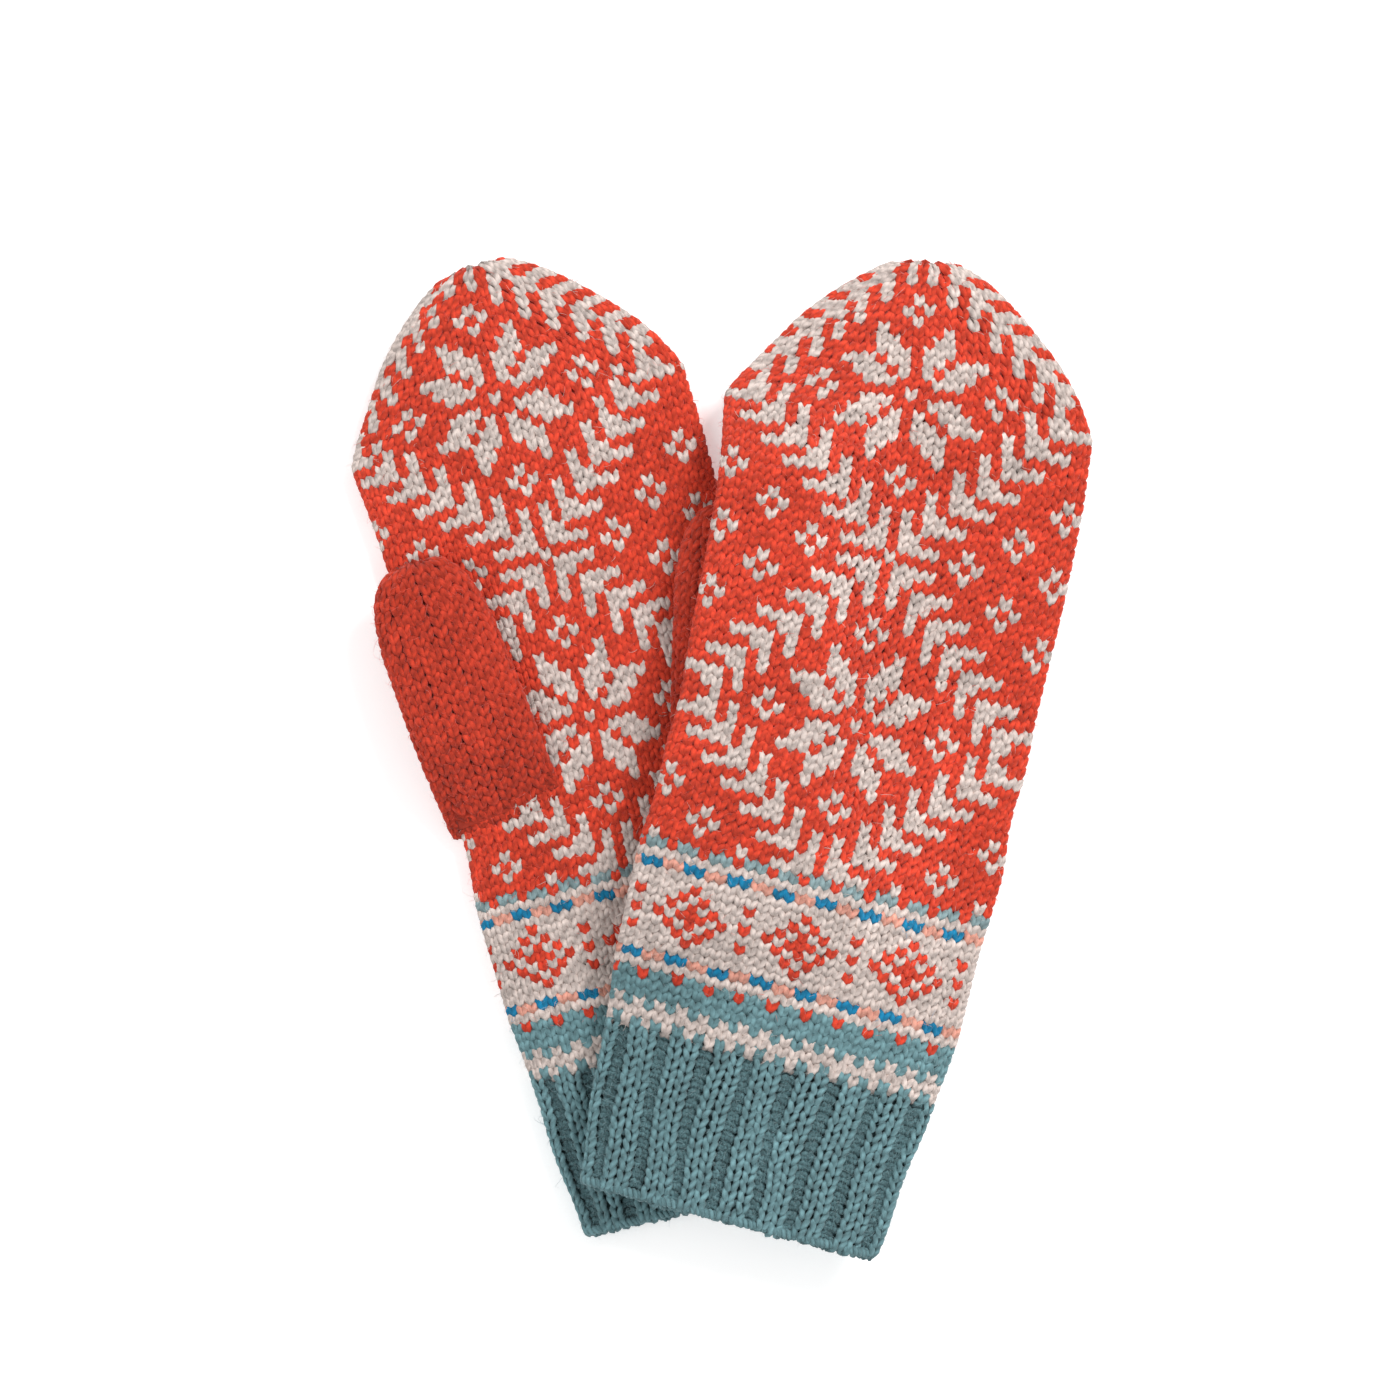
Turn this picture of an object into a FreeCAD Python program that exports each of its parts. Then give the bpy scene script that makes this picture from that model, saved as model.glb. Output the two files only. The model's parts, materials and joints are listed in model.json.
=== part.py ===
import FreeCAD, Part
import math
import os

# A pair of knitted mittens lying flat: the left mitten palm up underneath, the right mitten
# back up on top of it.  Millimetres, X to the right, Y towards the fingertips, Z up.

# Driving dimensions
LENGTH = 264.0              # cuff edge to fingertips, along the middle line
HAND_THICK = 10.0           # both layers of a mitten and the room between them
WALL = 2.1                  # one layer of two-colour knitting
THUMB_THICK = 8.4
THUMB_WALL = 1.9
THUMB_HALF_WIDTH = 16.0
THINNEST_HALF = 0.8         # least half thickness of a section or a hollow
GAP = 0.4                   # between pieces that lie on each other
REST_FLAT = 0.1             # the fabric that lies on the table is pressed flat by this much
TABLE_SIZE = 600.0

# Where one band of knitting ends and the next begins, from the cuff edge
CAST_ON_END = 3.6
RIB_END = 44.0
STRIPE_END = 61.0
BORDER_END = 95.0
HAND_END = 220.0
TIP_CLOSED = 263.0
TIP_REACH = 264.5           # where the tip's curve would come to a point
TIP_SLOPE = 1.15            # exponents of the tip's outline: how straight its sides run,
TIP_ROUND = 0.6             # and how blunt it ends
INNER_END = 252.0

# Half widths along a mitten: (distance from the cuff edge, half width)
HALF_WIDTHS = [(0, 40.2), (20, 42.4), (44, 45.0), (61, 47.2), (95, 48.0), (125, 47.2), (160, 47.8), (220, 49.6)]
THIN_FROM = 205.0           # the hand gets thinner from here to the tip
TIP_THINNING = 0.45

# The thumb grows out of the palm here, and its fabric rises out of the palm before that
THUMB_BASE_ALONG = 117.0
GUSSET_LENGTH = 18.0
PIVOT_INSET = 0.5           # the thumb swings about a point this far inside its outer root corner

# The thumb's outline: (distance from its root, share of the full half width)
THUMB_TUBE_SHAPE = [(0.0, 1.0), (28.0, 1.0), (50.0, 0.97)]
THUMB_TIP_SHAPE = [(50.0, 0.97), (58.0, 0.9), (64.0, 0.78), (68.0, 0.62), (70.5, 0.4)]
THUMB_TIP_HOLLOWS = 3       # how many sections of the tip are hollow
THUMB_FLATTEST = 0.6        # share of the full thickness left at no width at all,
THUMB_FATTENING = 0.45      # and how fast it grows with the share of the width

# The fabric rising from the palm to the thumb: (share of the gusset's length, width, height)
GUSSET_SHAPE = [(-1.0, 0.72, 0.26), (-0.6, 0.88, 0.6), (-0.3, 0.96, 0.88), (0.0, 1.0, 1.0)]
GUSSET_FOOT = 1.7           # how deep its foot is set into the palm

# How the right mitten drapes over the left one and over its own thumb
LOWER_LIFT = HAND_THICK + GAP
THUMB_LIFT = THUMB_THICK + GAP
DRAPE_RUN = 36.0            # sideways distance in which the fabric comes down to the floor
THUMB_RUN = 26.0
LEFT_EDGE_AT_CUFF = 44.0    # X of the lower mitten's right edge, at the cuffs and at the thumb tip
LEFT_EDGE_AT_THUMB = 22.0
CUFF_Y = -124.0
THUMB_TIP_Y = 70.0
LIFT_GONE_Y = 126.0
BUMP_GONE_Y = 108.0
BUMP_START_Y = -70.0
BUMP_FULL_Y = -34.0
THUMB_RIGHT_X = 21.0

# Middle lines: cuff centre and fingertip, with the lean at each end in degrees (right is positive)
LEFT = {
    "name": "left", "cuff": (0.1, -119.9), "tip": (-68.4, 132.5), "leans": (-14.0, -19.5),
    "palm_up": True, "thumb_across": -31.7, "thumb_splay": -6.7, "width_scale": 0.94,
}
RIGHT = {
    "name": "right", "cuff": (1.2, -123.7), "tip": (54.5, 134.1), "leans": (14.7, 3.0),
    "palm_up": False, "thumb_across": -29.5, "thumb_splay": -13.0, "width_scale": 1.0,
}

SHEET_SPANS = 18            # spans of the curves that follow the drape
ARCH_SPANS = 14
ARCH_POWER = 0.8            # 1 is a plain oval, less is squarer


def smooth(t):
    """0 below 0, 1 above 1, and an even curve between."""
    t = max(0.0, min(1.0, t))
    return t * t * (3.0 - 2.0 * t)


def middle_line(mitten, along):
    """Point and heading of the middle line: a cubic curve with the set lean at each end."""
    (x0, y0), (x3, y3) = mitten["cuff"], mitten["tip"]
    lean0, lean3 = (math.radians(a) for a in mitten["leans"])
    leg = LENGTH / 3.0
    xs = (x0, x0 + leg * math.sin(lean0), x3 - leg * math.sin(lean3), x3)
    ys = (y0, y0 + leg * math.cos(lean0), y3 - leg * math.cos(lean3), y3)
    t = along / LENGTH
    r = 1.0 - t
    weights = (r ** 3, 3 * r * r * t, 3 * r * t * t, t ** 3)
    slopes = (-3 * r * r, 3 * r * r - 6 * r * t, 6 * r * t - 3 * t * t, 3 * t * t)
    x = sum(w * v for w, v in zip(weights, xs))
    y = sum(w * v for w, v in zip(weights, ys))
    dx = sum(w * v for w, v in zip(slopes, xs))
    dy = sum(w * v for w, v in zip(slopes, ys))
    size = math.hypot(dx, dy)
    return x, y, dx / size, dy / size


def drape(mitten, x, y):
    """Height of the surface that a mitten lies on."""
    if mitten["palm_up"]:
        return 0.0
    share = (y - CUFF_Y) / (THUMB_TIP_Y - CUFF_Y)
    edge = LEFT_EDGE_AT_CUFF + (LEFT_EDGE_AT_THUMB - LEFT_EDGE_AT_CUFF) * share
    over_mitten = smooth((edge + DRAPE_RUN - x) / DRAPE_RUN)
    over_mitten *= smooth((LIFT_GONE_Y - y) / (LIFT_GONE_Y - THUMB_TIP_Y))
    over_thumb = smooth((THUMB_RIGHT_X + THUMB_RUN - x) / THUMB_RUN)
    over_thumb *= smooth((BUMP_GONE_Y - y) / (BUMP_GONE_Y - THUMB_TIP_Y))
    over_thumb *= smooth((y - BUMP_START_Y) / (BUMP_FULL_Y - BUMP_START_Y))
    return LOWER_LIFT * over_mitten + THUMB_LIFT * over_thumb


def half_width(mitten, along):
    """Half width of a mitten: straight lines through HALF_WIDTHS, then the tip's own curve."""
    width = HALF_WIDTHS[-1][1]
    if along >= HAND_END:
        reach = (along - HAND_END) / (TIP_REACH - HAND_END)
        width *= (1.0 - reach ** TIP_SLOPE) ** TIP_ROUND
    else:
        pairs = zip(HALF_WIDTHS, HALF_WIDTHS[1:])
        (a0, w0), (a1, w1) = next(pair for pair in pairs if along <= pair[1][0])
        width = w0 + (w1 - w0) * (along - a0) / (a1 - a0)
    return width * mitten["width_scale"]


def half_thickness(along):
    thinning = TIP_THINNING * smooth((along - THIN_FROM) / (TIP_CLOSED - THIN_FROM))
    return HAND_THICK / 2.0 * (1.0 - thinning)


def mitten_point(mitten, along, across, height):
    x, y, hx, hy = middle_line(mitten, along)
    px, py = x + across * hy, y - across * hx
    return FreeCAD.Vector(px, py, HAND_THICK / 2.0 + drape(mitten, px, py) + height)


def open_curve(points):
    curve = Part.BSplineCurve()
    curve.interpolate(Points=points)
    return curve.toShape()


def section_size(mitten, along, inset):
    return half_width(mitten, along) - inset, max(half_thickness(along) - inset, THINNEST_HALF)


def sheet_curve(mitten, along, size, sign):
    """The flat top (sign 1) or bottom (sign -1) of a section, from its right to its left."""
    half_w, half_t = size
    reach = half_w - half_t
    spread = [reach * (1.0 - 2.0 * i / SHEET_SPANS) for i in range(SHEET_SPANS + 1)]
    return open_curve([mitten_point(mitten, along, a, sign * half_t) for a in spread])


def fold_arc(mitten, along, size, side, start, end):
    """The round fold at a side (1 right, -1 left) between two angles above the middle."""
    half_w, half_t = size
    points = []
    for angle in (start, (start + end) / 2.0, end):
        a = math.radians(angle)
        across = side * (half_w - half_t + half_t * math.cos(a))
        points.append(mitten_point(mitten, along, across, half_t * math.sin(a)))
    return Part.Arc(*points).toShape()


def closed_section(mitten, along, inset):
    """One whole cross-section: flat above and below, with a round fold at each side."""
    size = section_size(mitten, along, inset)
    return Part.Wire(Part.__sortEdges__([
        sheet_curve(mitten, along, size, 1.0),
        fold_arc(mitten, along, size, -1.0, 90.0, -90.0),
        sheet_curve(mitten, along, size, -1.0),
        fold_arc(mitten, along, size, 1.0, -90.0, 90.0),
    ]))


def half_section(mitten, along, upper):
    """Cross-section of one layer: outer and inner curves, joined at the two side folds."""
    sign = 1.0 if upper else -1.0
    edges = []
    for inset in (0.0, WALL):
        size = section_size(mitten, along, inset)
        edges.append(fold_arc(mitten, along, size, 1.0, 0.0, sign * 90.0))
        edges.append(sheet_curve(mitten, along, size, sign))
        edges.append(fold_arc(mitten, along, size, -1.0, sign * 90.0, 0.0))
    outer_w = half_width(mitten, along)
    for side in (-1.0, 1.0):
        edges.append(Part.LineSegment(mitten_point(mitten, along, side * outer_w, 0.0),
                                      mitten_point(mitten, along, side * (outer_w - WALL), 0.0)).toShape())
    return Part.Wire(Part.__sortEdges__(edges))


def stations(start, end, step=9.0):
    count = max(1, round((end - start) / step))
    return [start + (end - start) * i / count for i in range(count + 1)]


def band(mitten, start, end):
    """A tube of knitting, open at both ends."""
    places = stations(start, end)
    outside = Part.makeLoft([closed_section(mitten, a, 0.0) for a in places], True, True)
    inside = Part.makeLoft([closed_section(mitten, a, WALL) for a in places], True, True)
    return outside.cut(inside)


def layer(mitten, upper):
    """The palm or the back of the hand."""
    wires = [half_section(mitten, a, upper) for a in stations(BORDER_END, HAND_END)]
    return Part.makeLoft(wires, True, True)


def fingertip(mitten):
    """The tapered end of the hand, closed at the tip."""
    outer_places = stations(HAND_END, TIP_CLOSED, 7.0)
    inner_places = stations(HAND_END, INNER_END, 8.0)
    outside = Part.makeLoft([closed_section(mitten, a, 0.0) for a in outer_places], True, True)
    inside = Part.makeLoft([closed_section(mitten, a, WALL) for a in inner_places], True, True)
    return outside.cut(inside)


def thumb_frame(mitten):
    """Base point of the thumb and its heading in plan."""
    base = mitten_point(mitten, THUMB_BASE_ALONG, mitten["thumb_across"], 0.0)
    heading = middle_line(mitten, THUMB_BASE_ALONG)[2:]
    turn = math.radians(-mitten["thumb_splay"])
    hx = heading[0] * math.cos(turn) - heading[1] * math.sin(turn)
    hy = heading[0] * math.sin(turn) + heading[1] * math.cos(turn)
    return base, hx, hy


def thumb_point(mitten, along, across, z):
    base, hx, hy = thumb_frame(mitten)
    return FreeCAD.Vector(base.x + along * hx + across * hy, base.y + along * hy - across * hx, z)


def thumb_middle_height():
    """Both thumbs lie on the lower mitten, so they are at one height."""
    return LOWER_LIFT + THUMB_THICK / 2.0


def thumb_section(mitten, along, half_w, half_t):
    """A thumb's cross-section: flat above and below, with a round fold at each side."""
    middle = thumb_middle_height()
    flat = half_w - half_t
    corners = [thumb_point(mitten, along, across, middle + height)
               for across, height in ((flat, half_t), (-flat, half_t), (-flat, -half_t), (flat, -half_t))]
    left_fold = thumb_point(mitten, along, -half_w, middle)
    right_fold = thumb_point(mitten, along, half_w, middle)
    return Part.Wire([
        Part.LineSegment(corners[0], corners[1]).toShape(),
        Part.Arc(corners[1], left_fold, corners[2]).toShape(),
        Part.LineSegment(corners[2], corners[3]).toShape(),
        Part.Arc(corners[3], right_fold, corners[0]).toShape(),
    ])


def thumb_sections(mitten, shape, inset):
    """Sections of the thumb; it thins a little where it narrows."""
    wires = []
    for along, share in shape:
        half_t = THUMB_THICK / 2.0 * min(1.0, THUMB_FLATTEST + THUMB_FATTENING * share)
        wires.append(thumb_section(mitten, along, THUMB_HALF_WIDTH * share - inset, half_t - inset))
    return wires


def thumb_tube(mitten):
    """The straight part of the thumb, open at both ends."""
    outside = Part.makeLoft(thumb_sections(mitten, THUMB_TUBE_SHAPE, 0.0), True, True)
    return outside.cut(Part.makeLoft(thumb_sections(mitten, THUMB_TUBE_SHAPE, THUMB_WALL), True, True))


def thumb_tip(mitten):
    """The rounded end of the thumb, closed."""
    outside = Part.makeLoft(thumb_sections(mitten, THUMB_TIP_SHAPE, 0.0), True, True)
    hollow = thumb_sections(mitten, THUMB_TIP_SHAPE[:THUMB_TIP_HOLLOWS], THUMB_WALL)
    return outside.cut(Part.makeLoft(hollow, True, True))


def arch_section(mitten, along, half_w, z_foot, rise):
    """A flat-footed half oval; a negative rise makes it hang down."""
    points = []
    for i in range(ARCH_SPANS + 1):
        angle = math.pi * i / ARCH_SPANS
        across = half_w * math.copysign(abs(math.cos(angle)) ** ARCH_POWER, math.cos(angle))
        z = z_foot + rise * abs(math.sin(angle)) ** ARCH_POWER
        points.append(thumb_point(mitten, along, across, z))
    return Part.Wire([open_curve(points), Part.LineSegment(points[-1], points[0]).toShape()])


def gusset_solids(mitten):
    """The outside of the gusset as a solid, and its hollow, which goes on through the palm."""
    if mitten["palm_up"]:
        foot = HAND_THICK - GUSSET_FOOT
        rise = LOWER_LIFT + THUMB_THICK - foot
    else:
        foot = LOWER_LIFT + THUMB_LIFT + GUSSET_FOOT
        rise = LOWER_LIFT - foot
    deeper = foot - math.copysign(THUMB_WALL, rise)
    outer = []
    inner = []
    for share, width, height in GUSSET_SHAPE:
        along = share * GUSSET_LENGTH - GAP
        half_w = THUMB_HALF_WIDTH * width
        outer.append(arch_section(mitten, along, half_w, foot, rise * height))
        # the hollow starts one wall further on, and runs out through the open end
        inner_along = min(along + THUMB_WALL, 0.0)
        inner.append(arch_section(mitten, inner_along, half_w - THUMB_WALL, deeper, rise * height))
    return Part.makeLoft(outer, True, True), Part.makeLoft(inner, True, True)


def thumb_pivot(mitten):
    return thumb_point(mitten, 0.0, PIVOT_INSET - THUMB_HALF_WIDTH, thumb_middle_height())


def build(mitten):
    name = mitten["name"]
    gusset_outside, gusset_inside = gusset_solids(mitten)
    palm = layer(mitten, mitten["palm_up"]).cut(gusset_outside).cut(gusset_inside)
    return {
        name + "_cast_on_edge": band(mitten, 0.0, CAST_ON_END),
        name + "_rib_cuff": band(mitten, CAST_ON_END, RIB_END),
        name + "_stripe_band": band(mitten, RIB_END, STRIPE_END),
        name + "_border_band": band(mitten, STRIPE_END, BORDER_END),
        name + "_palm": palm,
        name + "_back": layer(mitten, not mitten["palm_up"]),
        name + "_fingertip": fingertip(mitten),
        name + "_thumb_gusset": gusset_outside.cut(gusset_inside),
        name + "_thumb_tube": thumb_tube(mitten),
        name + "_thumb_tip": thumb_tip(mitten),
    }


def largest_solid(shape):
    return max(shape.Solids, key=lambda solid: solid.Volume)


def pressed_flat(shape):
    """The shape with whatever lies on the table cut level, so that it has a true flat face to rest on."""
    corner = FreeCAD.Vector(-TABLE_SIZE / 2.0, -TABLE_SIZE / 2.0, REST_FLAT)
    above_table = Part.makeBox(TABLE_SIZE, TABLE_SIZE, TABLE_SIZE, corner)
    if shape.optimalBoundingBox(False, False).ZMin < REST_FLAT:
        return shape.common(above_table)
    return shape


os.makedirs("parts", exist_ok=True)
pieces = {}
for one_mitten in (LEFT, RIGHT):
    for node, shape in build(one_mitten).items():
        pieces[node] = pressed_flat(shape)

box = FreeCAD.BoundBox()
for shape in pieces.values():
    box.add(shape.optimalBoundingBox(False, False))
to_origin = FreeCAD.Vector(-box.Center.x, -box.Center.y, -box.ZMin)

for node, shape in pieces.items():
    solid = largest_solid(shape)
    solid.translate(to_origin)
    solid.exportStep("parts/%s.step" % node)
    spare = shape.Volume - solid.Volume
    print("%-24s valid %s  volume %9.1f  left out %.2f  solids %d"
          % (node, solid.isValid(), solid.Volume, spare, len(shape.Solids)))

print("box %.2f x %.2f x %.2f, moved by (%.3f, %.3f, %.3f)"
      % (box.XLength, box.YLength, box.ZLength, to_origin.x, to_origin.y, to_origin.z))
for one_mitten in (LEFT, RIGHT):
    pivot = thumb_pivot(one_mitten).add(to_origin)
    print("%s thumb pivot (%.3f, %.3f, %.3f)" % (one_mitten["name"], pivot.x, pivot.y, pivot.z))
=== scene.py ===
"""A pair of stranded-colourwork knitted mittens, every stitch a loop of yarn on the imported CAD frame."""
import json
import math

import bpy
import numpy as np
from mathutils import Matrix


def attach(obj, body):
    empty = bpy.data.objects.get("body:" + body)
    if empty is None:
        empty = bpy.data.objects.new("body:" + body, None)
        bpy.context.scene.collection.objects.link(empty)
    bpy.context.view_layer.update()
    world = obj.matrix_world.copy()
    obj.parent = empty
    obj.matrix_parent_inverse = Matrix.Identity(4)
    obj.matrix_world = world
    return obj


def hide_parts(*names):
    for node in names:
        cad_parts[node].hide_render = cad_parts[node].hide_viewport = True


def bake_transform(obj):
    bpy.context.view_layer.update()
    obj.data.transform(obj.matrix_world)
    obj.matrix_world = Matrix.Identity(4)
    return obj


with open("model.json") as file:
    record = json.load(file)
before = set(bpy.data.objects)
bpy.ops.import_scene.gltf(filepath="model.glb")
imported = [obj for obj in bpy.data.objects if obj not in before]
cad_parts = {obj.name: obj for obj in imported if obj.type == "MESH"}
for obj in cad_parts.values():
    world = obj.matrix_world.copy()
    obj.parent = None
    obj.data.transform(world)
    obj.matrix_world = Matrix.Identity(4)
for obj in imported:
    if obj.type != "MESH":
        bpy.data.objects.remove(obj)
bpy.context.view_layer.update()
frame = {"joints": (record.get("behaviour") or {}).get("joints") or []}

MM = 0.001
SEED = 7

# -------------------- the shape, in millimetres, as the CAD has it
LENGTH = 264.0
HAND_THICK = 10.0
THUMB_THICK = 8.4
THUMB_HALF_WIDTH = 16.0
GAP = 0.4                   # clearance between layers that lie on each other
HAND_END = 220.0            # where the fingertip's outline starts to narrow
TIP_REACH = 264.5           # where it would come to a point, and where the fabric ends
TIP_CLOSED = 263.0
TIP_SLOPE = 1.15            # powers that shape the outline between the two
TIP_ROUND = 0.6
THIN_FROM = 205.0           # from here to its end the hand gets thinner by this share
TIP_THINNING = 0.45
# Half widths of the flat hand at distances from the cuff's edge
HALF_WIDTHS = [(0, 40.2), (20, 42.4), (44, 45.0), (61, 47.2), (95, 48.0), (125, 47.2), (160, 47.8),
               (220, 49.6)]
THUMB_BASE_ALONG = 117.0    # how far along the mitten the thumb's root is
THUMB_LENGTH = 70.5
# Shares of the thumb's half width at distances from its root
THUMB_WIDTHS = [(0, 1.0), (28, 1.0), (50, 0.97), (58, 0.9), (64, 0.78), (68, 0.62), (70.5, 0.4), (71.5, 0.2)]
PIVOT_INSET = 0.5           # how far inside the thumb's outer edge its pivot is
THUMB_SINK = 1.7            # how deep in the palm the thumb's first row starts
THUMB_RISE_START = -8.0     # and where along the thumb it rises to lie on the palm
THUMB_RISE_RUN = 34.0
THUMB_THINNEST = 0.62       # share of its thickness that the thumb keeps where it narrows to nothing
THUMB_FULL_AT = 0.9         # share of its width from which it has its whole thickness
THUMB_ROOT_ROUND = 0.15     # how much of its roundness is left where it is sunk in the palm

# The upper mitten lies over the lower one and over its own thumb, and comes down to the floor beside them
LOWER_LIFT = HAND_THICK + GAP
THUMB_LIFT = THUMB_THICK + GAP
DRAPE_RUN = 36.0            # it comes down beside the lower mitten over this width, and beside its thumb
THUMB_RUN = 26.0
LEFT_EDGE_AT_CUFF = 44.0    # x of the lower mitten's right edge at the cuffs, and at the thumbs' tips
LEFT_EDGE_AT_THUMB = 22.0
CUFF_Y = -124.0
THUMB_TIP_Y = 70.0          # up to here the lift is whole
LIFT_GONE_Y = 126.0         # where the lift over the lower mitten has faded, and that over the thumb
BUMP_GONE_Y = 108.0
BUMP_START_Y = -70.0        # where the lift over the thumb starts, and where it is whole
BUMP_FULL_Y = -34.0
THUMB_RIGHT_X = 21.0        # and up to which x it is whole

OUTLINE_STOP = 0.995        # the fingertip's outline stops a little short of its point
HAND_START = -4.0           # where the fine grids of fabric start, and how far apart their rows are
HAND_GRID = 1.0
THUMB_START = -5.0
THUMB_GRID = 0.5
OVAL_STEPS = 721
PALM_SEARCH = (60.0, 230.0, 0.5)    # places along a mitten where the palm beside a thumb is looked for
TINY = 1e-9

# cuff and tip are the ends of the middle line, and leans its slant at both, in degrees to the right.
# roll is how far the pattern is turned round the hand, in columns.
LEFT = {
    "name": "left", "cuff": (0.1, -119.9), "tip": (-68.4, 132.5), "leans": (-14.0, -19.5),
    "palm_up": True, "thumb_across": -31.7, "thumb_splay": -6.7, "width_scale": 0.94, "roll": -1.4,
}
RIGHT = {
    "name": "right", "cuff": (1.2, -123.7), "tip": (54.5, 134.1), "leans": (14.7, 3.0),
    "palm_up": False, "thumb_across": -29.5, "thumb_splay": -13.0, "width_scale": 1.0, "roll": -0.2,
}

# -------------------- the knitting
COLUMNS = 66                # stitches round the hand
RIB_COLUMNS = 64            # sixteen ribs of two knit and two purl stitches
THUMB_COLUMNS = 22
THUMB_ROWS = 24
# Rows are numbered from the upper star's centre; this says how far along the mitten each lies
ROW_PLACES = [(-80.5, 0.6), (-64.5, 44.0), (-58.0, 61.0), (-45.0, 93.3), (-30.0, 136.4), (-15.0, 182.2),
              (0.0, 226.8), (13.0, 263.4)]
FIRST_ROW = -80
FIRST_STRIPE_ROW = -64
FIRST_BORDER_ROW = -58
FIRST_HAND_ROW = -44
FIRST_TIP_ROW = -1
LAST_ROW = 12

YARN_ACROSS = 0.90          # yarn half width and half thickness
YARN_DEEP = 0.72
LOOP_RINGS = 13
LOOP_SIDES = 6
LOOP_TALL = 0.76            # half height of a loop, in rows
LOOP_SWAY = 0.275           # how far its legs lean, in columns
RIB_SWAY = 0.20
LOOP_DEPTH = 0.62           # how far its legs stand out and its ends sink in
LOOP_DIP = 3                # how suddenly its ends sink
PAINTED_DIP_SHADE = 0.36           # painted shade: how much darker the yarn is painted where it dips behind its neighbours, where shade falls
THUMB_PAINTED_SHADE = 0.80           # painted shade: the thumbs' yarn is painted darker, as less light falls on them
EDGE_DEPTH = 0.85           # depth of the yarn's middle below the outer surface, at the side folds
FACE_DEPTH = 1.28           # and on the faces, which keep clear of each other
FACE_TILT = 0.9             # a surface that looks up or down at least this much counts as a face

# How stitches differ from each other, as shares of a stitch, of the yarn's thickness or of its colour
LOOSE = 0.06
LEAN = 0.04
WIDE = 0.05
ASIDE = 0.03
ASTRAY = 0.05
DRIFT = 0.12                # slow drift of whole groups of stitches, and its waves along and round the mitten
DRIFT_LENGTHS = (9.0, 13.0)
DRIFT_TURNS = (37.0, 61.0)
SWELL = 0.10                # the yarn swells where it stands out
THICK_UNEVEN = 0.04
SHADE_UNEVEN = 0.07
TWIST_START = 50.0          # a stitch's twist starts anywhere in this length of yarn

UNEVEN_EDGE = 0.35          # how far the side folds wander sideways
UNEVEN_FACE = 0.60          # how far the faces sink between their high places
CLOSE_RUN = 7.0             # the faces come together over this length at a closed end
CLOSED_HALF = 1.6
TOP_POWER = 2.3             # roundness of a mitten's upper side
UNDER_POWER = 4.5           # and of the side it lies on


def smooth(t):
    """0 below 0, 1 above 1, and an even curve between."""
    t = np.clip(t, 0.0, 1.0)
    return t * t * (3.0 - 2.0 * t)


def unit(v):
    """Vectors at length one."""
    return v / np.maximum(np.linalg.norm(v, axis=-1, keepdims=True), TINY)


def steps(pairs, value):
    """Straight lines through a list of (place, size) pairs."""
    places, sizes = zip(*pairs)
    return np.interp(value, places, sizes)


# -------------------- the surface of a mitten

def middle_line(mitten, along):
    """Point and heading of the middle line at each distance in along."""
    lean0, lean3 = (math.radians(a) for a in mitten["leans"])
    leg = LENGTH / 3.0
    p0 = np.array(mitten["cuff"])
    p3 = np.array(mitten["tip"])
    p1 = p0 + leg * np.array([math.sin(lean0), math.cos(lean0)])
    p2 = p3 - leg * np.array([math.sin(lean3), math.cos(lean3)])
    t = np.asarray(along, float)[..., None] / LENGTH
    r = 1.0 - t
    point = r ** 3 * p0 + 3 * r * r * t * p1 + 3 * r * t * t * p2 + t ** 3 * p3
    slope = 3 * r * r * (p1 - p0) + 6 * r * t * (p2 - p1) + 3 * t * t * (p3 - p2)
    return point, slope / np.linalg.norm(slope, axis=-1, keepdims=True)


def half_width(mitten, along):
    width = steps(HALF_WIDTHS, along)
    reach = np.clip((along - HAND_END) / (TIP_REACH - HAND_END), 0.0, OUTLINE_STOP)
    return width * (1.0 - reach ** TIP_SLOPE) ** TIP_ROUND * mitten["width_scale"]


def half_thickness(along):
    thinning = TIP_THINNING * smooth((along - THIN_FROM) / (TIP_CLOSED - THIN_FROM))
    return HAND_THICK / 2.0 * (1.0 - thinning)


def drape(mitten, x, y):
    """Height of the surface that a mitten lies on."""
    if mitten["palm_up"]:
        return np.zeros_like(x)
    share = (y - CUFF_Y) / (THUMB_TIP_Y - CUFF_Y)
    edge = LEFT_EDGE_AT_CUFF + (LEFT_EDGE_AT_THUMB - LEFT_EDGE_AT_CUFF) * share
    over_mitten = smooth((edge + DRAPE_RUN - x) / DRAPE_RUN)
    over_mitten = over_mitten * smooth((LIFT_GONE_Y - y) / (LIFT_GONE_Y - THUMB_TIP_Y))
    over_thumb = smooth((THUMB_RIGHT_X + THUMB_RUN - x) / THUMB_RUN)
    over_thumb = over_thumb * smooth((BUMP_GONE_Y - y) / (BUMP_GONE_Y - THUMB_TIP_Y))
    over_thumb = over_thumb * smooth((y - BUMP_START_Y) / (BUMP_FULL_Y - BUMP_START_Y))
    return LOWER_LIFT * over_mitten + THUMB_LIFT * over_thumb


def even_ring(half_w, rise, fall, count):
    """Evenly spaced points round a flattened oval, from its top middle to the right; rise and fall are its
    heights above and below the middle."""
    angle = np.linspace(0.0, 2.0 * math.pi, OVAL_STEPS)
    c, s = np.cos(angle), np.sin(angle)
    power = np.where(c >= 0.0, 2.0 / TOP_POWER, 2.0 / UNDER_POWER)
    across = half_w * np.sign(s) * np.abs(s) ** power
    height = np.where(c >= 0.0, rise, fall) * np.sign(c) * np.abs(c) ** power
    walked = np.concatenate([[0.0], np.cumsum(np.hypot(np.diff(across), np.diff(height)))])
    wanted = np.linspace(0.0, walked[-1], count)
    return np.interp(wanted, walked, across), np.interp(wanted, walked, height)


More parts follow.
